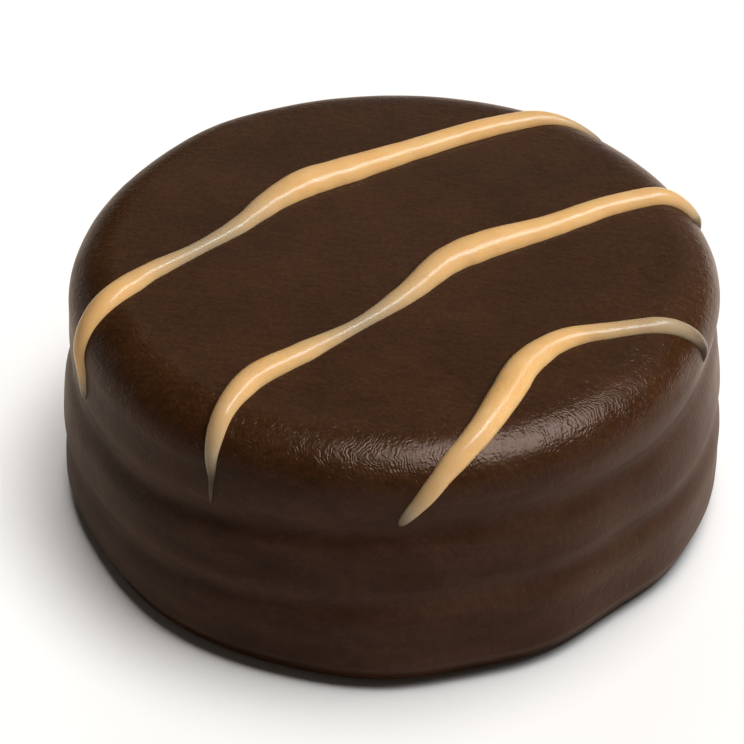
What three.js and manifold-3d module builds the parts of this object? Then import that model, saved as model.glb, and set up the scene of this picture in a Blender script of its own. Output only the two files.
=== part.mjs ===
// A triple alfajor: three round biscuits with two fillings between them, dipped whole in dark
// chocolate, with three strands of caramel icing drizzled over the top. The coat is shut all
// round, so the cookie is one solid. Its side keeps the soft swell of each biscuit and a shallow
// groove over each filling, and the strands are fused to the coat they lie on.
//
// Millimetres, +Z up. The flat base stands on z = 0, and the box of the whole is centred on Z.

import * as THREE from 'three';
import { mergeVertices } from 'three/addons/utils/BufferGeometryUtils.js';
import Module from 'manifold-3d';

// ---- Driving dimensions: millimetres, and degrees for every angle ----

const HEIGHT = 26.9;         // table to the middle of the top
const RIM_RADIUS = 32.0;     // side of the top biscuit, just under the rim
const FOOT_RADIUS = 33.2;    // side of the bottom biscuit, where the coat has run down
const WIDENING = 0.8;        // part of the side's height over which it widens to the foot
const CROWN = 0.3;           // how far the top rises from the rim to its middle
const RIM_ACROSS = 5.2;      // rounding over the rim, measured inwards
const RIM_DOWN = 4.6;        // the same rounding, measured downwards
const FOOT_ACROSS = 2.6;     // curl under the foot, measured inwards
const FOOT_UP = 2.8;         // the same curl, measured upwards

// Each groove runs round the side over a filling. Its height tilts with the layers and sways.
const GROOVES = [
  { height: 17.6, tilt: 1.9, sway: 0.7, lobes: 3, depth: 0.45, reach: 1.7 },
  { height: 9.4, tilt: 1.9, sway: 0.9, lobes: 2, depth: 0.38, reach: 1.6 },
];
const SWAY_FROM = -90;       // azimuth at which both grooves are at the top of their sway

// Swells (and, where `by` is negative, hollows) that keep the coat from being truly round.
const RIM_SWELLS = [
  { at: 10, spread: 12, by: 0.3 },
  { at: 52, spread: 14, by: 0.4 },
  { at: 127, spread: 9, by: 0.4 },
  { at: 205, spread: 14, by: -0.3 },
  { at: 340, spread: 10, by: -0.4 },
];
const FOOT_SWELLS = [
  { at: 45, spread: 20, by: 0.4 },
  { at: 100, spread: 22, by: -0.5 },
  { at: 150, spread: 14, by: 0.3 },
  { at: 186, spread: 9, by: 0.3 },
  { at: 210, spread: 8, by: -0.25 },
  { at: 232, spread: 14, by: 0.4 },
  { at: 268, spread: 8, by: 0.3 },
  { at: 285, spread: 7, by: -0.35 },
  { at: 312, spread: 8, by: -0.9 },
];
const FOOT_SWELLS_BELOW = 4;   // height up to which the foot's swells are at their full size
const RIM_SWELLS_ABOVE = 22;   // height from which the rim's swells are at their full size

// The strands, as stations [x, y, width] on the coat spread out flat: the direction from the
// origin is the azimuth, and the distance is measured along the coat from the middle of the top.
const STRANDS = {
  back: [
    [22.6, 23.6, 0.6], [20.1, 24.0, 1.4], [16.0, 24.0, 2.4], [9.9, 21.9, 2.9],
    [1.7, 17.4, 3.2], [-6.0, 12.8, 4.0], [-9.1, 10.8, 4.1], [-12.0, 8.2, 3.3],
    [-15.4, 3.7, 2.3], [-19.2, -0.1, 1.8], [-23.8, -4.1, 2.5], [-27.4, -8.0, 2.8],
    [-30.5, -10.9, 2.3], [-33.4, -13.2, 1.7], [-35.9, -14.9, 0.9],
  ],
  middle: [
    [31.9, 8.0, 1.0], [30.4, 9.2, 2.0], [27.4, 9.9, 2.6], [21.8, 8.0, 2.8],
    [14.8, 3.7, 3.2], [8.9, 0.6, 3.9], [5.1, -2.2, 3.6], [1.2, -7.4, 2.6],
    [-3.3, -12.2, 1.7], [-8.3, -16.4, 2.6], [-12.7, -20.0, 2.9], [-15.0, -24.0, 2.2],
    [-16.6, -27.6, 1.6], [-17.9, -30.2, 0.9],
  ],
  front: [
    [33.1, -13.1, 0.8], [31.1, -11.5, 1.5], [27.0, -11.4, 1.9], [20.9, -12.6, 2.1],
    [15.8, -14.2, 2.7], [12.3, -17.7, 3.2], [10.2, -22.3, 3.2], [7.8, -27.2, 2.6],
    [4.8, -31.3, 2.0], [2.6, -34.6, 1.6], [0.7, -37.4, 0.8],
  ],
};
const STRAND_RISE = 0.34;      // thickness of a strand over the coat, as a part of its width
const STRAND_BODY = 0.15;      // and what is added to that for every width
const STRAND_SINK = 0.1;       // how far the middle of its section lies under the coat

// ---- Fineness ----

const ROUND_STEPS = 96;        // facets round the coat
const TOP_STEPS = 4;
const RIM_STEPS = 6;
const SIDE_STEPS = 13;
const FOOT_STEPS = 4;
const STRAND_STEPS = 34;       // sections along a strand
const STRAND_SIDES = 10;

const QUARTER = Math.PI / 2;

/** The smooth outline of the coat before its grooves and swells, from top middle to base middle. */
function coatOutline() {
  const outline = [];
  const flatRadius = RIM_RADIUS - RIM_ACROSS;
  const shoulder = HEIGHT - CROWN;
  for (let i = 0; i < TOP_STEPS; i++) {
    const out = i / TOP_STEPS;
    outline.push(new THREE.Vector2(flatRadius * out, HEIGHT - CROWN * out * out));
  }
  for (let i = 0; i <= RIM_STEPS; i++) {
    const turn = QUARTER * i / RIM_STEPS;
    const radius = flatRadius + RIM_ACROSS * Math.sin(turn);
    outline.push(new THREE.Vector2(radius, shoulder - RIM_DOWN * (1 - Math.cos(turn))));
  }
  for (let i = 1; i < SIDE_STEPS; i++) {
    const down = i / SIDE_STEPS;
    const widened = THREE.MathUtils.smoothstep(down, 0, WIDENING);
    const radius = THREE.MathUtils.lerp(RIM_RADIUS, FOOT_RADIUS, widened);
    outline.push(new THREE.Vector2(radius, THREE.MathUtils.lerp(shoulder - RIM_DOWN, FOOT_UP, down)));
  }
  for (let i = 0; i <= FOOT_STEPS; i++) {
    const turn = QUARTER * i / FOOT_STEPS;
    const radius = FOOT_RADIUS - FOOT_ACROSS * (1 - Math.cos(turn));
    outline.push(new THREE.Vector2(radius, FOOT_UP * (1 - Math.sin(turn))));
  }
  outline.push(new THREE.Vector2(0, 0));
  return outline;
}

/** Sum of the swells of one list at an azimuth in degrees. */
function swellAt(swells, azimuth) {
  let sum = 0;
  for (const swell of swells) {
    const away = THREE.MathUtils.euclideanModulo(azimuth - swell.at + 180, 360) - 180;
    sum += swell.by * Math.exp(-0.5 * (away / swell.spread) ** 2);
  }
  return sum;
}

/** How far the coat stands out from its smooth outline at an azimuth in degrees and a height. */
function unevenness(azimuth, height) {
  const up = THREE.MathUtils.smoothstep(height, FOOT_SWELLS_BELOW, RIM_SWELLS_ABOVE);
  let out = THREE.MathUtils.lerp(swellAt(FOOT_SWELLS, azimuth), swellAt(RIM_SWELLS, azimuth), up);
  for (const groove of GROOVES) {
    const tilt = groove.tilt * Math.cos(THREE.MathUtils.degToRad(azimuth));
    const sway = groove.sway * Math.cos(THREE.MathUtils.degToRad(groove.lobes * (azimuth - SWAY_FROM)));
    const away = (height - groove.height - tilt - sway) / groove.reach;
    out -= groove.depth * Math.exp(-away * away);
  }
  return out;
}

/** Moves a point of the smooth coat to where the uneven coat has it. The middle stays put. */
function settle(point) {
  const radius = Math.hypot(point.x, point.y);
  if (radius < 1e-6) {
    return point;
  }
  const azimuth = THREE.MathUtils.radToDeg(Math.atan2(point.y, point.x));
  const share = THREE.MathUtils.smoothstep(radius, 0, RIM_RADIUS);
  const grown = radius + share * unevenness(azimuth, point.z);
  return point.set(point.x * grown / radius, point.y * grown / radius, point.z);
}

/** A function that finds the point of the coat at spread-out coordinates x, y. */
function coatFinder(outline) {
  const lengths = [0];
  for (let i = 1; i < outline.length; i++) {
    lengths.push(lengths[i - 1] + outline[i].distanceTo(outline[i - 1]));
  }
  return (x, y) => {
    const distance = Math.hypot(x, y);
    const azimuth = Math.atan2(y, x);
    const next = Math.max(1, lengths.findIndex((length) => length > distance));
    const share = (distance - lengths[next - 1]) / (lengths[next] - lengths[next - 1]);
    const spot = outline[next - 1].clone().lerp(outline[next], share);
    return settle(new THREE.Vector3(spot.x * Math.cos(azimuth), spot.x * Math.sin(azimuth), spot.y));
  };
}

/** Moves every vertex of a geometry by a function of its position. */
function reshape(geometry, move) {
  const position = geometry.getAttribute('position');
  const vertex = new THREE.Vector3();
  for (let i = 0; i < position.count; i++) {
    vertex.fromBufferAttribute(position, i);
    const moved = move(vertex);
    position.setXYZ(i, moved.x, moved.y, moved.z);
  }
  return geometry;
}

/** The chocolate coat and all it hides: a turned form with its grooves and swells. */
function coat(outline) {
  const upright = new THREE.LatheGeometry([...outline].reverse(), ROUND_STEPS);
  upright.rotateX(QUARTER);
  return reshape(upright, settle);
}

/** One strand of icing: a bead of oval section that follows its stations over the coat. */
function strand(stations, findCoat) {
  const path = new THREE.CatmullRomCurve3(stations.map(([x, y, width]) => new THREE.Vector3(x, y, width)));
  const step = 0.5 / STRAND_STEPS;
  const bead = new THREE.CylinderGeometry(1, 1, 1, STRAND_SIDES, STRAND_STEPS);
  return reshape(bead, (vertex) => {
    const along = THREE.MathUtils.clamp(vertex.y + 0.5, step, 1 - step);
    const spot = path.getPointAt(along);
    const before = path.getPointAt(along - step);
    const after = path.getPointAt(along + step);
    const centre = findCoat(spot.x, spot.y);
    const ahead = findCoat(after.x, after.y).sub(findCoat(before.x, before.y)).normalize();
    const aside = new THREE.Vector2(after.y - before.y, before.x - after.x).normalize();
    const left = findCoat(spot.x - aside.x, spot.y - aside.y);
    const across = findCoat(spot.x + aside.x, spot.y + aside.y).sub(left);
    const up = across.clone().cross(ahead).normalize();
    across.crossVectors(ahead, up);
    const rise = STRAND_RISE * spot.z + STRAND_BODY;
    const section = across.multiplyScalar(vertex.x * spot.z / 2);
    return centre.add(section).addScaledVector(up, vertex.z * rise - STRAND_SINK);
  });
}

const wasm = await Module();
wasm.setup();

/** A closed geometry as a manifold solid: shared vertices merged and slivers at the axis dropped. */
function toSolid(geometry) {
  geometry.deleteAttribute('normal');
  geometry.deleteAttribute('uv');
  const merged = mergeVertices(geometry);
  const corners = merged.getIndex().array;
  const kept = [];
  for (let i = 0; i < corners.length; i += 3) {
    const [a, b, c] = corners.subarray(i, i + 3);
    if (a !== b && b !== c && c !== a) {
      kept.push(a, b, c);
    }
  }
  return new wasm.Manifold(new wasm.Mesh({
    numProp: 3,
    vertProperties: merged.getAttribute('position').array,
    triVerts: new Uint32Array(kept),
  }));
}

/** A manifold solid as a geometry, standing on z = 0 with its box centred on the Z axis. */
function toGeometry(solid) {
  const mesh = solid.getMesh();
  const geometry = new THREE.BufferGeometry();
  geometry.setAttribute('position', new THREE.BufferAttribute(mesh.vertProperties, 3));
  geometry.setIndex(new THREE.BufferAttribute(mesh.triVerts, 1));
  geometry.computeBoundingBox();
  const { min, max } = geometry.boundingBox;
  geometry.translate(-(min.x + max.x) / 2, -(min.y + max.y) / 2, -min.z);
  geometry.computeVertexNormals();
  return geometry;
}

/** The whole cookie: the coat with its strands fused on. */
function coatedCookie() {
  const outline = coatOutline();
  const findCoat = coatFinder(outline);
  let whole = toSolid(coat(outline));
  for (const stations of Object.values(STRANDS)) {
    whole = whole.add(toSolid(strand(stations, findCoat)));
  }
  return toGeometry(whole);
}

const chocolate = new THREE.MeshStandardMaterial({ color: 0x3e2a20, roughness: 0.45, metalness: 0 });
const cookie = new THREE.Mesh(coatedCookie(), chocolate);
cookie.name = 'coated_cookie';

const alfajor = new THREE.Group();
alfajor.add(cookie);

export default alfajor;
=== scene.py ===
"""A triple alfajor in its looks: a dark chocolate coat with three strands of caramel icing.

The coat and the strands repeat the solid's form with a finer mesh. Shapes are worked out in
millimetres and degrees, and `make_object` scales them to metres.
"""

import math

import bpy
import numpy as np
from mathutils import Matrix, Vector, noise


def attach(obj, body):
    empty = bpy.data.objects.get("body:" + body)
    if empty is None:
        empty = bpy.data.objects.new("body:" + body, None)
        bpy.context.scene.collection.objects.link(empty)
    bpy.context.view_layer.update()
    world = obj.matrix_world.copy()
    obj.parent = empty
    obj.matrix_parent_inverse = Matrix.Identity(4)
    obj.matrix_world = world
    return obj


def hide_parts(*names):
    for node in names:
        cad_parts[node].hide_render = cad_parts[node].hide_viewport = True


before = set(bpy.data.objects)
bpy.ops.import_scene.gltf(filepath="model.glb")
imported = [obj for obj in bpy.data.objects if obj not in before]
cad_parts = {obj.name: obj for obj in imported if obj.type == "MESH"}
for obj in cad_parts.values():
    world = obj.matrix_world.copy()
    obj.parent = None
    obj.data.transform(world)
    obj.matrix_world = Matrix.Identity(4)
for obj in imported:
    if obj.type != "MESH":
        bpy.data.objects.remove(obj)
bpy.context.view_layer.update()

# ---- The coat, in millimetres ----

MM = 0.001
HEIGHT = 26.9
RIM_RADIUS = 32.0
FOOT_RADIUS = 33.2
WIDENING = 0.8            # part of the side's height over which it widens to the foot
CROWN = 0.3
RIM_ACROSS = 5.2
RIM_DOWN = 4.6
FOOT_ACROSS = 2.6
FOOT_UP = 2.8

GROOVES = [
    dict(height=17.6, tilt=1.9, sway=0.7, lobes=3, depth=0.45, reach=1.7),
    dict(height=9.4, tilt=1.9, sway=0.9, lobes=2, depth=0.38, reach=1.6),
]
SWAY_FROM = -90.0

# Swells of the coat: azimuth, spread in degrees, and how far each stands out.
RIM_SWELLS = [(10, 12, 0.3), (52, 14, 0.4), (127, 9, 0.4), (205, 14, -0.3), (340, 10, -0.4)]
FOOT_SWELLS = [
    (45, 20, 0.4), (100, 22, -0.5), (150, 14, 0.3), (186, 9, 0.3), (210, 8, -0.25),
    (232, 14, 0.4), (268, 8, 0.3), (285, 7, -0.35), (312, 8, -0.9),
]
FOOT_SWELLS_BELOW = 4.0
RIM_SWELLS_ABOVE = 22.0

# Soft relief of the coat: size of the unevenness and how far it stands out.
RELIEF = [(9.0, 0.07), (3.4, 0.025), (1.3, 0.006)]

# Level folds of the side: their length and height, and how far they stand out.
FOLDS = [(16.0, 3.4, 0.09), (7.0, 1.5, 0.02)]
FOLDS_BELOW = 21.0
NO_FOLDS_ABOVE = 25.0

# A narrower fold in the bottom of each groove: its depth as a part of the groove's, and how many
# times narrower it is.
GROOVE_FOLD_DEPTH = 0.42
GROOVE_FOLD_NARROWED = 1.6

# ---- The strands, in millimetres ----

# Stations (x, y, width, clearness) on the coat spread out flat: the direction from the origin is
# the azimuth, and the distance is measured along the coat from the middle of the top. Clearness
# is 0 where the icing is opaque and 1 where the coat shows through it. On the middle and front
# strands, the small clearness where they run down over the front of the rim is painted shade: it
# darkens the icing where it turns away from the light.
STRANDS = {
    "icing_back": [
        (22.6, 23.6, 0.6, 0.9), (20.1, 24.0, 1.4, 0.5), (16.0, 24.0, 2.4, 0.15),
        (9.9, 21.9, 2.9, 0.0), (1.7, 17.4, 3.2, 0.0), (-6.0, 12.8, 4.0, 0.0),
        (-9.1, 10.8, 4.1, 0.0), (-12.0, 8.2, 3.3, 0.15), (-15.4, 3.7, 2.3, 0.4),
        (-19.2, -0.1, 1.8, 0.5), (-23.8, -4.1, 2.5, 0.2), (-27.4, -8.0, 2.8, 0.0),
        (-30.5, -10.9, 2.3, 0.05), (-33.4, -13.2, 1.7, 0.25), (-35.9, -14.9, 0.9, 1.0),
    ],
    "icing_middle": [
        (31.6, 8.3, 0.8, 1.0), (31.0, 8.8, 1.6, 0.8), (30.4, 9.2, 2.0, 0.5),
        (27.4, 9.9, 2.6, 0.1), (21.8, 8.0, 2.8, 0.0), (14.8, 3.7, 3.2, 0.0), (8.9, 0.6, 3.9, 0.0),
        (5.1, -2.2, 3.6, 0.05), (1.2, -7.4, 2.6, 0.25), (-3.3, -12.2, 1.7, 0.5),
        (-8.3, -16.4, 2.6, 0.15), (-12.7, -20.0, 2.9, 0.06), (-15.0, -24.0, 2.2, 0.15),
        (-16.6, -27.6, 1.6, 0.45), (-18.0, -30.3, 0.8, 0.95), (-19.3, -32.2, 0.4, 0.95),
        (-19.9, -33.2, 0.3, 1.0),
    ],
    "icing_front": [
        (32.2, -12.4, 0.4, 1.0), (30.9, -11.5, 1.2, 1.0), (27.0, -11.4, 1.9, 0.55),
        (20.9, -12.6, 2.1, 0.3), (15.8, -14.2, 2.7, 0.0), (12.3, -17.7, 3.2, 0.0),
        (10.2, -22.3, 3.2, 0.0), (7.8, -27.2, 2.6, 0.06), (4.8, -31.3, 2.0, 0.16),
        (2.6, -34.6, 1.6, 0.35), (0.7, -37.4, 0.8, 1.0),
    ],
}
STRAND_RISE = 0.34        # thickness over the coat, as a part of the width
STRAND_BODY = 0.15        # and what is added to that for every width
STRAND_SINK = 0.1
STRAND_UNDERSIDE = 0.4    # depth of the section under its widest line, as a part of its rise
STRAND_TIP = 1.2          # length over which each end rounds off

# ---- Fineness ----

ROUND_STEPS = 512
TOP_STEPS = 44
RIM_STEPS = 38
SIDE_STEPS = 72
FOOT_STEPS = 16
BASE_STEPS = 5
STRAND_STEP = 0.18        # distance between the sections of a strand
STRAND_SIDES = 32

# ---- Camera and light ----

CAMERA_ELEVATION = math.radians(38.0)
CAMERA_DISTANCE = 0.26
CAMERA_ROLL = math.radians(0.43)
CAMERA_LENS = 125.0
CAMERA_CENTRE = Vector((0, 0, 13.5 * MM))       # point that the distance and elevation are from
FRAME_WIDTH = 744
CENTRE_SEEN_AT = (393.0, 357.7)                 # where the image shows that point, in pixels

# Soft lights: name, direction towards the light, width, strength and colour. The coat, the icing
# and the floor each have lamps of their own, and the panels show in what is glossy.
WHITE = (1.0, 1.0, 1.0)
COOL = (0.91, 0.965, 1.0)
BLUISH = (0.80, 0.93, 1.0)
COAT_LAMPS = [
    ("coat_key", (0.63, -0.06, 0.775), 45, 3.95, WHITE),
]
ICING_LAMPS = [
    ("icing_key", (0.61, 0.00, 0.79), 45, 3.90, WHITE),
]
FLOOR_LAMPS = [
    ("floor_above", (0.15, 0.10, 0.98), 36, 2.65, (1.0, 0.955, 0.915)),
    ("floor_right", (0.40, -0.02, 0.92), 26, 0.92, COOL),
    ("floor_behind", (-0.04, 0.80, 0.60), 30, 0.45, COOL),
]
COAT_PANELS = [
    ("coat_above_right", (0.36, -0.16, 0.92), 45, 7.5, (1.0, 0.90, 0.87)),
    ("coat_behind", (0.25, 0.80, 0.55), 60, 0.25, WHITE),
    ("coat_low_left", (-0.78, 0.50, 0.05), 32, 0.10, WHITE),
]
ICING_PANELS = [
    ("icing_above_right", (0.36, -0.10, 0.93), 15, 1.10, BLUISH),
    ("icing_right", (0.43, 0.13, 0.89), 15, 0.95, BLUISH),
    ("icing_behind_right", (0.47, 0.35, 0.81), 15, 0.70, BLUISH),
    ("icing_behind", (0.48, 0.56, 0.67), 15, 0.25, BLUISH),
]
ROOM_GLOW = (0.054, 0.047, 0.039, 1)
BACKDROP_GLOW = (0.97, 0.97, 0.97, 1)

# What is glossy shows the room and the floor in tones of their own. The floor's are painted
# reflection and painted shade for the cookie's gloss. They go from the first, darker one to the
# second, brighter one, between two places across it. Behind the cookie's middle they are brighter,
# and farther off less so: each stretch, from and to, takes them up or down by its factor. This
# paints a sheen on the coat's side, dimmer on the left, where the floor lies in shadow.
ROOM_IN_GLOSS = (0.080, 0.064, 0.053, 1)
FLOOR_PAINTED_REFLECTION = [(0.52, 0.43, 0.36, 1), (1.19, 1.03, 0.93, 1)]
FLOOR_ACROSS = (-30 * MM, 140 * MM)
FLOOR_BEHIND = [(4 * MM, 16 * MM, 1.9), (30 * MM, 100 * MM, 0.6)]


def blend(low, high, value):
    """Smooth step from 0 at `low` to 1 at `high`."""
    share = np.clip((np.asarray(value, float) - low) / (high - low), 0, 1)
    return share * share * (3 - 2 * share)


# ---- Form of the coat ----

def coat_outline(steps=60):
    """Radius and height of the smooth outline from the top's middle to the base's middle."""
    flat_radius = RIM_RADIUS - RIM_ACROSS
    shoulder = HEIGHT - CROWN
    out = np.linspace(0, 1, steps, endpoint=False)
    top = np.stack([flat_radius * out, HEIGHT - CROWN * out ** 2], 1)
    turn = np.linspace(0, math.pi / 2, steps)
    rim = np.stack([flat_radius + RIM_ACROSS * np.sin(turn),
                    shoulder - RIM_DOWN * (1 - np.cos(turn))], 1)
    down = np.linspace(0, 1, steps)[1:-1]
    side = np.stack([RIM_RADIUS + (FOOT_RADIUS - RIM_RADIUS) * blend(0, WIDENING, down),
                     shoulder - RIM_DOWN + (FOOT_UP - shoulder + RIM_DOWN) * down], 1)
    foot = np.stack([FOOT_RADIUS - FOOT_ACROSS * (1 - np.cos(turn)),
                     FOOT_UP * (1 - np.sin(turn))], 1)
    return [top, rim, side, foot, np.array([[0.0, 0.0]])]


OUTLINE = np.concatenate(coat_outline())
LENGTHS = np.concatenate([[0], np.cumsum(np.hypot(*np.diff(OUTLINE, axis=0).T))])


def swell_at(swells, azimuth):
    """Sum of the swells of one list at azimuths in degrees."""
    total = np.zeros_like(azimuth)
    for at, spread, by in swells:
        away = (azimuth - at + 180) % 360 - 180
        total += by * np.exp(-0.5 * (away / spread) ** 2)
    return total


def grooves_at(azimuth, height, narrowed=1.0):
    """Depth of the grooves at azimuths in degrees, each one `narrowed` so many times."""
    depth = 0.0
    for groove in GROOVES:
        tilt = groove["tilt"] * np.cos(np.radians(azimuth))
        sway = groove["sway"] * np.cos(np.radians(groove["lobes"] * (azimuth - SWAY_FROM)))
        away = (height - groove["height"] - tilt - sway) / groove["reach"] * narrowed
        depth = depth + groove["depth"] * np.exp(-away ** 2)
    return depth


def unevenness(azimuth, height):
    """How far the coat stands out from its smooth outline."""
    up = blend(FOOT_SWELLS_BELOW, RIM_SWELLS_ABOVE, height)
    foot = swell_at(FOOT_SWELLS, azimuth)
    out = foot + (swell_at(RIM_SWELLS, azimuth) - foot) * up
    return out - grooves_at(azimuth, height)


def coat_at(distance, azimuth):
    """Points of the uneven coat at distances along it from the top's middle, and azimuths."""
    radius = np.interp(distance, LENGTHS, OUTLINE[:, 0])
    height = np.interp(distance, LENGTHS, OUTLINE[:, 1])
    radius, height, azimuth = np.broadcast_arrays(radius, height, azimuth)
    share = blend(0, RIM_RADIUS, radius)
    radius = radius + share * unevenness(np.degrees(azimuth), height)
    return np.stack([radius * np.cos(azimuth), radius * np.sin(azimuth), height], -1)


def spread_at(spots):
    """Points of the coat at spread-out coordinates, given as rows of x, y."""
    return coat_at(np.hypot(spots[:, 0], spots[:, 1]), np.arctan2(spots[:, 1], spots[:, 0]))


def unit(vectors):
    """The same vectors at length 1."""
    return vectors / np.maximum(np.linalg.norm(vectors, axis=-1, keepdims=True), 1e-9)


def noise_at(points, sizes, seed):
    """Smooth noise at points, of the given sizes along x, y and z."""
    shift = np.array([7.3 * seed, 3.1, 11.7])
    return np.array([noise.noise(Vector(p)) for p in points / sizes + shift])


def relief(points):
    """How far the coat's soft unevenness and the folds of its side stand out at each point."""
    azimuth = np.degrees(np.arctan2(points[:, 1], points[:, 0]))
    out = -GROOVE_FOLD_DEPTH * grooves_at(azimuth, points[:, 2], GROOVE_FOLD_NARROWED)
    for seed, (size, depth) in enumerate(RELIEF):
        out += depth * noise_at(points, size, seed)
    on_side = 1 - blend(FOLDS_BELOW, NO_FOLDS_ABOVE, points[:, 2])
    for seed, (length, height, depth) in enumerate(FOLDS, start=len(RELIEF)):
        out += on_side * depth * noise_at(points, np.array([length, length, height]), seed)
    return out


def make_object(name, points, faces, material):
    """A smooth-shaded mesh object from points in millimetres."""
    mesh = bpy.data.meshes.new(name)
    mesh.from_pydata((points * MM).tolist(), [], faces)
    mesh.polygons.foreach_set("use_smooth", [True] * len(mesh.polygons))
    mesh.materials.append(material)
    mesh.update()
    made = bpy.data.objects.new(name, mesh)
    bpy.context.scene.collection.objects.link(made)
    return made


def tube_faces(rings, sides):
    """Quads between successive closed rings, then a fan over each end's middle point."""
    faces = []
    for ring in range(rings - 1):
        for side in range(sides):
            after = (side + 1) % sides
            here, there = ring * sides, (ring + 1) * sides
            faces.append((here + side, there + side, there + after, here + after))
    first, last = rings * sides, rings * sides + 1
    end = (rings - 1) * sides
    for side in range(sides):
        after = (side + 1) % sides
        faces.append((first, side, after))
        faces.append((last, end + after, end + side))
    return faces


def coat_distances():
    """Distances along the coat of the mesh's rings, closest together over the rim."""
    steps = (TOP_STEPS, RIM_STEPS, SIDE_STEPS, FOOT_STEPS, BASE_STEPS)
    ends = np.cumsum([len(part) for part in coat_outline()])
    marks = [0.0] + [LENGTHS[min(end, len(LENGTHS) - 1)] for end in ends[:4]] + [LENGTHS[-1]]
    parts = [np.linspace(a, b, n, endpoint=False) for a, b, n in zip(marks, marks[1:], steps)]
    return np.concatenate(parts)[1:]


def make_coat(material):
    """The chocolate coat: rings round the axis, from the top's middle to the base's."""
    azimuth = np.linspace(0, 2 * math.pi, ROUND_STEPS, endpoint=False)
    distances = coat_distances()
    grid = coat_at(distances[:, None], azimuth[None, :])
    along = unit(np.gradient(grid, axis=0))
    around = unit(np.roll(grid, -1, 1) - np.roll(grid, 1, 1))
    normal = unit(np.cross(along, around))
    points = grid.reshape(-1, 3)
    lift = relief(points)[:, None] * blend(0, 1.5, points[:, 2:])
    points = points + normal.reshape(-1, 3) * lift
    middles = np.array([[0, 0, HEIGHT], [0, 0, 0]])
    faces = tube_faces(len(distances), ROUND_STEPS)
    return make_object("chocolate_coat", np.concatenate([points, middles]), faces, material)


# ---- Form of the strands ----

def smooth_path(stations, step):
    """Stations joined by a smooth curve, sampled about every `step`."""
    knots = np.array(stations, float)
    gaps = np.sqrt(np.linalg.norm(np.diff(knots, axis=0), axis=1))
    times = np.concatenate([[0], np.cumsum(gaps)])
    slopes = np.gradient(knots, times, axis=0)
    dense = np.linspace(0, times[-1], 40 * len(knots))
    index = np.clip(np.searchsorted(times, dense, side="right") - 1, 0, len(knots) - 2)
    gap = gaps[index][:, None]
    share = ((dense - times[index])[:, None]) / gap
    path = (knots[index] * (1 + 2 * share) * (1 - share) ** 2
            + slopes[index] * gap * share * (1 - share) ** 2
            + knots[index + 1] * share ** 2 * (3 - 2 * share)
            + slopes[index + 1] * gap * share ** 2 * (share - 1))
    length = np.concatenate([[0], np.cumsum(np.hypot(*np.diff(path[:, :2], axis=0).T))])
    evenly = np.linspace(0, length[-1], int(length[-1] / step))
    return np.stack([np.interp(evenly, length, column) for column in path.T], 1), evenly


def make_strand(name, stations, material):
    """One strand of icing: a bead of oval section lying along its stations."""
    path, run = smooth_path(stations, STRAND_STEP)
    spots, width = path[:, :2], path[:, 2]
    from_end = np.minimum(run, run[-1] - run)
    rounding = np.sqrt(1 - (1 - np.clip(from_end / STRAND_TIP, 0.02, 1)) ** 2)
    centre = spread_at(spots)
    ahead = unit(np.gradient(centre, axis=0))
    along = unit(np.gradient(spots, axis=0))
    aside = np.stack([along[:, 1], -along[:, 0]], 1)
    across = spread_at(spots + aside) - spread_at(spots - aside)
    up = unit(np.cross(across, ahead))
    across = np.cross(ahead, up)
    wobble = np.array([noise.noise(Vector((r / 2.2, len(name), 0))) for r in run])
    half = width * rounding * (1 + 0.06 * wobble) / 2
    rise = (STRAND_RISE * width + STRAND_BODY) * rounding
    turn = np.linspace(0, 2 * math.pi, STRAND_SIDES, endpoint=False)
    lift = np.sin(turn)
    lift = np.where(lift < 0, lift * STRAND_UNDERSIDE, lift)
    grid = (centre[:, None]
            + across[:, None] * (half[:, None] * np.cos(turn))[..., None]
            + up[:, None] * (rise[:, None] * lift - STRAND_SINK)[..., None])
    middles = centre[[0, -1]] - up[[0, -1]] * STRAND_SINK
    points = np.concatenate([grid.reshape(-1, 3), middles])
    strand = make_object(name, points, tube_faces(len(path), STRAND_SIDES), material)
    # Clearness lets the coat show at the thin ends and stretches. Where the strands run down over
    # the front of the rim, it is painted shade.
    clear_and_shade = np.clip(path[:, 3], 0, 1)
    values = np.concatenate([np.repeat(clear_and_shade, STRAND_SIDES), clear_and_shade[[0, -1]]])
    attribute = strand.data.attributes.new("clearness_and_shade", "FLOAT", "POINT")
    attribute.data.foreach_set("value", values.astype(np.float32))
    return strand


# ---- Materials ----

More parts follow.
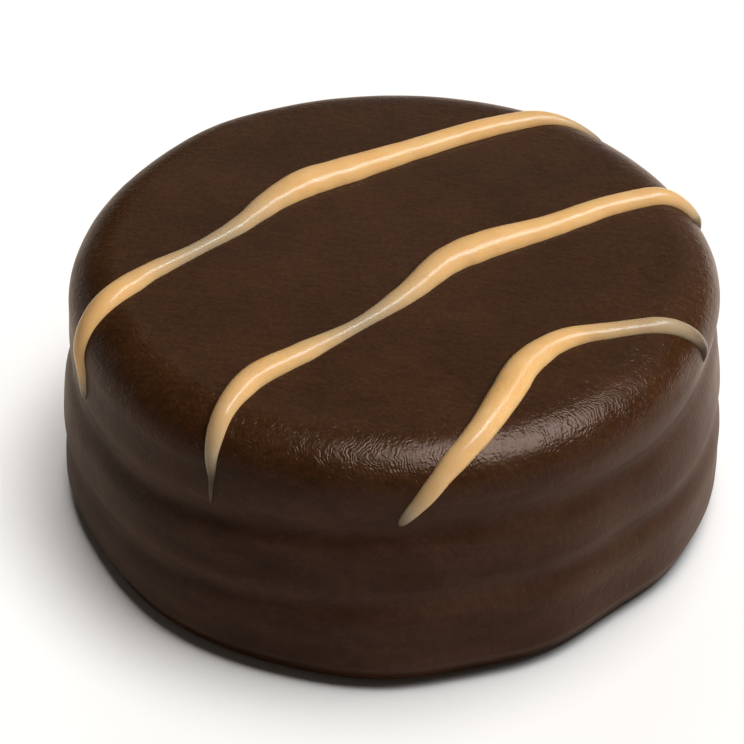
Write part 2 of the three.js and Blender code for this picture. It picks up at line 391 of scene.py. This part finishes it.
class Paint:
    """A node material being put together round its Principled shader."""

    def __init__(self, name):
        self.material = bpy.data.materials.new(name)
        self.material.use_nodes = True
        self.tree = self.material.node_tree
        self.shader = self.tree.nodes["Principled BSDF"]

    def node(self, kind, inputs=None, **settings):
        """Adds a node, sets its properties, and sets or links its inputs."""
        made = self.tree.nodes.new(kind)
        for key, value in settings.items():
            setattr(made, key, value)
        for key, value in (inputs or {}).items():
            self.set(made, key, value)
        return made

    def set(self, node, key, value):
        """Sets one input, or links it where the value is another node's socket."""
        if isinstance(value, bpy.types.NodeSocket):
            self.tree.links.new(value, node.inputs[key])
        else:
            node.inputs[key].default_value = value

    def math(self, operation, *values):
        """A Math node's result."""
        return self.node("ShaderNodeMath", dict(enumerate(values)), operation=operation).outputs[0]

    def noise(self, place, size, detail=3.0, roughness=0.55, distortion=0.0):
        """Noise whose features are about `size` millimetres across."""
        inputs = {"Vector": place, "Scale": 1 / (size * MM), "Detail": detail,
                  "Roughness": roughness, "Distortion": distortion}
        return self.node("ShaderNodeTexNoise", inputs).outputs["Fac"]

    def flat_noise(self, along, over, detail, distortion=0.0):
        """Noise over two values, whose features are about 1 across in both."""
        place = self.node("ShaderNodeCombineXYZ", {"X": along, "Y": over}).outputs["Vector"]
        inputs = {"Vector": place, "Scale": 1.0, "Detail": detail, "Distortion": distortion}
        return self.node("ShaderNodeTexNoise", inputs).outputs["Fac"]

    def streaks(self, place, size, shape, slant=0.0, detail=4.0):
        """Noise drawn out into streaks. `shape` is their shape in x, y and z, of which the first
        two are turned by `slant`."""
        inputs = {"Vector": place, "Rotation": (0, 0, slant), "Scale": shape}
        drawn = self.node("ShaderNodeMapping", inputs, vector_type="TEXTURE").outputs["Vector"]
        return self.noise(drawn, size, detail)

    def mix(self, share, low, high):
        """A colour between two, by `share`."""
        made = self.node("ShaderNodeMix", data_type="RGBA")
        for index, value in ((0, share), (6, low), (7, high)):
            self.set(made, index, value)
        return made.outputs[2]

    def scale(self, colour, factor):
        """A colour made lighter or darker by a factor."""
        inputs = {"Vector": colour, "Scale": factor}
        return self.node("ShaderNodeVectorMath", inputs, operation="SCALE").outputs["Vector"]

    def ramp(self, value, low, high, at_low, at_high):
        """A value taken from one range to another, held at both ends."""
        inputs = {"Value": value, "From Min": low, "From Max": high,
                  "To Min": at_low, "To Max": at_high}
        return self.node("ShaderNodeMapRange", inputs).outputs["Result"]

    def bump(self, height, distance, under=None):
        """A bump of `distance` millimetres over another one."""
        inputs = {"Height": height, "Distance": distance * MM}
        if under is not None:
            inputs["Normal"] = under
        return self.node("ShaderNodeBump", inputs).outputs["Normal"]


RIPPLES_ROUND = 430       # fine wrinkles of the coat's skin in one turn, about 0.46 mm each
RIPPLE_BEND = 62.0        # how strongly they bend back on both sides of the rim's turn
BEND_SOFTNESS = 0.04      # square of the angle over which they bend back, in radians
BENDS_ROUND = 3           # pairs of stretches where they bend one way and then the other
BENDS_FROM = math.radians(-73)
RIPPLE_WANDER = [(2.4, 44.0), (0.9, 12.0)]      # sizes of their bends, and how far noise bends them
RIM_TURN = 0.95           # where the rim's section turns them, in radians above the horizontal
RIPPLES_FROM = (23.5 * MM, 27.0 * MM)           # radii between which they come up
RIPPLES_ABOVE = (-0.5 * MM, 1.5 * MM)           # and heights, from where the rim begins to turn
LUMPS_ALONG = 0.11        # lumps on the wrinkles in one radian of their phase
LUMPS_OVER = 14.0         # and in one radian of the rim's turn
LUMP_HEIGHT = 8.0         # height of the lumps as a part of the wrinkles' height
CREASES_ALONG = 26.0      # wider creases across the rim, in one radian round the cookie
CREASES_OVER = 2.0        # and in one radian of the rim's turn
CREASE_HEIGHT = 6.0       # their height as a part of the wrinkles' height
SPECK_SIZE = 0.4
SPECKS_ABOVE = (0.70, 0.78)                     # noise between which a speck rises to its height
SPECK_HEIGHT = 1.5        # as a part of the wrinkles' height
SPECKS_FROM = (20.0 * MM, 23.0 * MM)            # radii between which the specks come up


def wrinkles(paint, place):
    """Height of the fine wrinkles that lie in arcs across the rim, with specks at their edge."""
    x, y, z = paint.node("ShaderNodeSeparateXYZ", {"Vector": place}).outputs
    azimuth = paint.math("ARCTAN2", y, x)
    radius = paint.math("SQRT", paint.math("ADD", paint.math("MULTIPLY", x, x),
                                           paint.math("MULTIPLY", y, y)))
    out = paint.math("SUBTRACT", radius, (RIM_RADIUS - RIM_ACROSS) * MM)
    up = paint.math("SUBTRACT", z, (HEIGHT - CROWN - RIM_DOWN) * MM)
    turn = paint.math("SUBTRACT", paint.math("ARCTAN2", up, out), RIM_TURN)
    bend = paint.math("SQRT", paint.math("MULTIPLY_ADD", turn, turn, BEND_SOFTNESS))
    way = paint.math("SINE", paint.math("MULTIPLY", paint.math("SUBTRACT", azimuth, BENDS_FROM),
                                        BENDS_ROUND))
    phase = paint.math("MULTIPLY", azimuth, RIPPLES_ROUND)
    phase = paint.math("MULTIPLY_ADD", paint.math("MULTIPLY", bend, way), RIPPLE_BEND, phase)
    for size, wander in RIPPLE_WANDER:
        phase = paint.math("MULTIPLY_ADD", paint.noise(place, size, 2.0), wander, phase)
    on_rim = paint.math("MULTIPLY", paint.ramp(radius, *RIPPLES_FROM, 0.0, 1.0),
                        paint.ramp(up, *RIPPLES_ABOVE, 0.0, 1.0))
    broken = paint.ramp(paint.noise(place, 1.5), 0.35, 0.65, 0.15, 1.0)
    lumps = paint.flat_noise(paint.math("MULTIPLY", phase, LUMPS_ALONG),
                             paint.math("MULTIPLY", turn, LUMPS_OVER), 1.0)
    uneven = paint.math("MULTIPLY_ADD", paint.math("SUBTRACT", lumps, 0.5), LUMP_HEIGHT,
                        paint.math("SINE", phase))
    ripples = paint.math("MULTIPLY", uneven, paint.math("MULTIPLY", on_rim, broken))
    creases = paint.flat_noise(paint.math("MULTIPLY", azimuth, CREASES_ALONG),
                               paint.math("MULTIPLY", turn, CREASES_OVER), 2.0, 0.6)
    ripples = paint.math("MULTIPLY_ADD", paint.math("MULTIPLY", creases, on_rim), CREASE_HEIGHT,
                         ripples)
    specks = paint.ramp(paint.noise(place, SPECK_SIZE, 0.0), *SPECKS_ABOVE, 0.0, SPECK_HEIGHT)
    specks = paint.math("MULTIPLY", specks, paint.ramp(radius, *SPECKS_FROM, 0.0, 1.0))
    return paint.math("ADD", ripples, specks)


SIDE_FINISH = (22.5 * MM, 25.0 * MM)            # heights between which it gives way to the top's
TOP_TONES = [(0.0345, 0.0121, 0.0030, 1), (0.045, 0.0165, 0.0048, 1)]
# The side's tones are partly the chocolate's own and partly painted shade and sheen. Both are darker
# than the top's, and the lighter one is greyer, a painted sheen. Noise lays them out in level bands,
# which paint light and dark bands on the side.
SIDE_TONES_WITH_SHADE_AND_SHEEN = [(0.025, 0.0080, 0.0018, 1), (0.043, 0.0172, 0.0080, 1)]
BAND_SHAPE = (1, 1, 0.35)
STROKE_SHAPE = (1, 0.2, 1)
STROKE_SLANT = -0.25      # in radians
SPECKLE = (0.23, 0.14)    # its strength on the top and on the side


def chocolate():
    """Dark chocolate: satin with a wrinkled skin on the rim, and duller on the side, where its
    tones, in level streaks, hold painted shade and a painted grey sheen."""
    paint = Paint("dark_chocolate")
    place = paint.node("ShaderNodeTexCoord").outputs["Object"]
    height = paint.node("ShaderNodeSeparateXYZ", {"Vector": place}).outputs["Z"]
    side = paint.ramp(height, *SIDE_FINISH, 1.0, 0.0)

    clouds = paint.ramp(paint.noise(place, 8.0, 4.0), 0.35, 0.65, 0.0, 1.0)
    # Painted shade and sheen: the side's two tones, laid out in level bands.
    shade_and_sheen_bands = paint.ramp(paint.streaks(place, 9.0, BAND_SHAPE), 0.33, 0.67, 0.0, 1.0)
    tone = paint.mix(side, paint.mix(clouds, *TOP_TONES), paint.mix(shade_and_sheen_bands, *SIDE_TONES_WITH_SHADE_AND_SHEEN))
    strokes = paint.streaks(place, 1.6, STROKE_SHAPE, STROKE_SLANT)
    strokes = paint.ramp(strokes, 0.3, 0.7, 0.82, 1.18)
    speckle = paint.ramp(paint.noise(place, 0.4, 2.0), 0.3, 0.7, -1.0, 1.0)
    speckle = paint.math("MULTIPLY_ADD", speckle, paint.ramp(side, 0.0, 1.0, *SPECKLE), 1.0)
    tone = paint.scale(tone, paint.math("MULTIPLY", strokes, speckle))
    paint.set(paint.shader, "Base Color", tone)

    satin = paint.ramp(paint.noise(place, 4.0), 0.3, 0.7, 0.25, 0.32)
    paint.set(paint.shader, "Roughness", paint.math("MULTIPLY_ADD", side, 0.12, satin))
    paint.set(paint.shader, "Specular IOR Level", 0.15)
    paint.set(paint.shader, "Specular Tint", (1.0, 0.89, 0.83, 1))

    skin = paint.bump(wrinkles(paint, place), 0.008)
    fibres = paint.math("MULTIPLY", paint.streaks(place, 2.4, (1, 1, 0.25)), side)
    brushed = paint.streaks(place, 2.5, STROKE_SHAPE, STROKE_SLANT)
    finish = paint.bump(brushed, 0.022, paint.bump(fibres, 0.018, skin))
    paint.set(paint.shader, "Normal", paint.bump(paint.noise(place, 0.4, 4.0), 0.018, finish))
    return paint.material


ICING_TONES = [(0.745, 0.43, 0.165, 1), (0.80, 0.49, 0.205, 1)]
VEIL = 0.55               # clearness at which the icing is only a pale veil
VEIL_TONE = (0.38, 0.29, 0.18, 1)
CLEAR_TONE = (0.044, 0.022, 0.011, 1)           # the coat, seen through the thinnest icing


def icing():
    """Caramel icing: satin and a little translucent, with the coat showing where it is thin and
    painted shade where it runs down over the front of the rim.
    """
    paint = Paint("caramel_icing")
    place = paint.node("ShaderNodeTexCoord").outputs["Object"]
    # Clearness: the coat showing through thin icing, and painted shade where the strands run down
    # over the front of the rim.
    clear_and_shade = paint.node("ShaderNodeAttribute", attribute_name="clearness_and_shade").outputs["Fac"]
    full = paint.mix(paint.ramp(paint.noise(place, 3.0), 0.3, 0.7, 0.0, 1.0), *ICING_TONES)
    veil = paint.mix(paint.ramp(clear_and_shade, 0.0, VEIL, 0.0, 1.0), full, VEIL_TONE)
    tone = paint.mix(paint.ramp(clear_and_shade, VEIL, 1.0, 0.0, 1.0), veil, CLEAR_TONE)
    paint.set(paint.shader, "Base Color", tone)
    paint.set(paint.shader, "Roughness", paint.ramp(paint.noise(place, 0.9), 0.3, 0.7, 0.18, 0.28))
    paint.set(paint.shader, "Specular IOR Level", 0.26)
    paint.set(paint.shader, "Subsurface Weight", 0.35)
    paint.set(paint.shader, "Subsurface Radius", (1.0, 0.5, 0.22))
    paint.set(paint.shader, "Subsurface Scale", 0.8 * MM)
    grain = paint.bump(paint.noise(place, 0.4, 3.0), 0.014)
    paint.set(paint.shader, "Normal", paint.bump(paint.noise(place, 1.8, 2.0), 0.04, grain))
    return paint.material


def white_floor():
    """Matt white, with tones of its own that what is glossy shows: a painted reflection, darker to
    the left and brighter behind the cookie.
    """
    paint = Paint("white_floor")
    place = paint.node("ShaderNodeTexCoord").outputs["Object"]
    tone = paint.mix(paint.noise(place, 60.0), (0.87, 0.87, 0.87, 1), (0.89, 0.89, 0.885, 1))
    across, behind, _ = paint.node("ShaderNodeSeparateXYZ", {"Vector": place}).outputs
    # Painted reflection and shade: the tones of the floor that the coat's gloss shows.
    painted_reflection = paint.mix(paint.ramp(across, *FLOOR_ACROSS, 0.0, 1.0), *FLOOR_PAINTED_REFLECTION)
    for start, end, factor in FLOOR_BEHIND:
        painted_reflection = paint.scale(painted_reflection, paint.ramp(behind, start, end, 1.0, factor))
    glossy = paint.node("ShaderNodeLightPath").outputs["Is Glossy Ray"]
    paint.set(paint.shader, "Base Color", paint.mix(glossy, tone, painted_reflection))
    paint.set(paint.shader, "Roughness", 0.9)
    paint.set(paint.shader, "Specular IOR Level", 0.1)
    return paint.material


# ---- The set ----

def make_floor():
    """A wide plain floor under the cookie."""
    half = 2500.0
    corners = np.array([[-half, -half, 0], [half, -half, 0], [half, half, 0], [-half, half, 0]])
    floor = make_object("floor", corners, [(0, 1, 2, 3)], white_floor())
    return floor


def make_light(name, towards, degrees_wide, strength, colour):
    """A soft light that comes from one direction, as wide as a softbox looks from the cookie."""
    data = bpy.data.lights.new(name, "SUN")
    data.energy = strength
    data.color = colour
    data.angle = math.radians(degrees_wide)
    light = bpy.data.objects.new(name, data)
    light.rotation_euler = Vector(towards).to_track_quat("Z", "Y").to_euler()
    bpy.context.scene.collection.objects.link(light)
    return light


def make_lights(lights, lit, glossy):
    """Lights for the objects `lit` alone, as if flags stood round them. They show either in what
    is glossy there or in what is matt."""
    group = bpy.data.collections.new("lit_by_" + lights[0][0])
    for each in lit:
        group.objects.link(each)
    for each in lights:
        light = make_light(*each)
        light.visible_glossy = glossy
        light.visible_diffuse = not glossy
        light.light_linking.receiver_collection = group


def make_room():
    """A dim room round the set, which the camera sees as a pale backdrop."""
    world = bpy.data.worlds.new("studio")
    world.use_nodes = True
    bpy.context.scene.world = world
    nodes, links = world.node_tree.nodes, world.node_tree.links
    rays = nodes.new("ShaderNodeLightPath")
    glow = nodes.new("ShaderNodeRGB").outputs["Color"]
    glow.default_value = ROOM_GLOW
    for kind, seen in (("Is Glossy Ray", ROOM_IN_GLOSS), ("Is Camera Ray", BACKDROP_GLOW)):
        change = nodes.new("ShaderNodeMixRGB")
        change.inputs["Color2"].default_value = seen
        links.new(rays.outputs[kind], change.inputs["Fac"])
        links.new(glow, change.inputs["Color1"])
        glow = change.outputs["Color"]
    links.new(glow, nodes["Background"].inputs["Color"])
    nodes["Background"].inputs["Strength"].default_value = 1.0


def make_camera(axis):
    """A long lens that looks down on the cookie from the front, turned so that the image shows
    CAMERA_CENTRE where it should be."""
    data = bpy.data.cameras.new("camera")
    data.lens = CAMERA_LENS
    data.sensor_width = 36.0
    data.clip_start = 0.01
    camera = bpy.data.objects.new("camera", data)
    bpy.context.scene.collection.objects.link(camera)
    away = Vector((0, -math.cos(CAMERA_ELEVATION), math.sin(CAMERA_ELEVATION)))
    turned = away.to_track_quat("Z", "Y").to_matrix().to_4x4() @ Matrix.Rotation(CAMERA_ROLL, 4, "Z")
    focal = CAMERA_LENS / data.sensor_width * FRAME_WIDTH
    aside = math.atan((CENTRE_SEEN_AT[0] - FRAME_WIDTH / 2) / focal)
    below = math.atan((CENTRE_SEEN_AT[1] - FRAME_WIDTH / 2) / focal)
    aim = Matrix.Rotation(aside, 4, "Y") @ Matrix.Rotation(below, 4, "X")
    place = axis + CAMERA_CENTRE + away * CAMERA_DISTANCE
    camera.matrix_world = Matrix.Translation(place) @ turned @ aim
    bpy.context.scene.camera = camera


def main():
    """Makes the cookie's pieces, puts them where the solid is, and sets them in the studio."""
    view = bpy.context.scene.view_settings
    view.view_transform = "Standard"
    coat = make_coat(chocolate())
    caramel = icing()
    strands = [make_strand(name, stations, caramel) for name, stations in STRANDS.items()]
    pieces = [coat] + strands
    corners = np.concatenate([np.array([v.co for v in piece.data.vertices]) for piece in pieces])
    middle = (corners.min(0) + corners.max(0)) / 2
    axis = Vector((-middle[0], -middle[1], 0))
    for piece in pieces:
        piece.data.transform(Matrix.Translation(axis))
        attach(piece, "root")
    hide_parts("coated_cookie")
    make_room()
    make_lights(COAT_LAMPS, [coat], glossy=False)
    make_lights(ICING_LAMPS, strands, glossy=False)
    make_lights(FLOOR_LAMPS, [make_floor()], glossy=False)
    make_lights(COAT_PANELS, [coat], glossy=True)
    make_lights(ICING_PANELS, strands, glossy=True)
    make_camera(axis)


main()
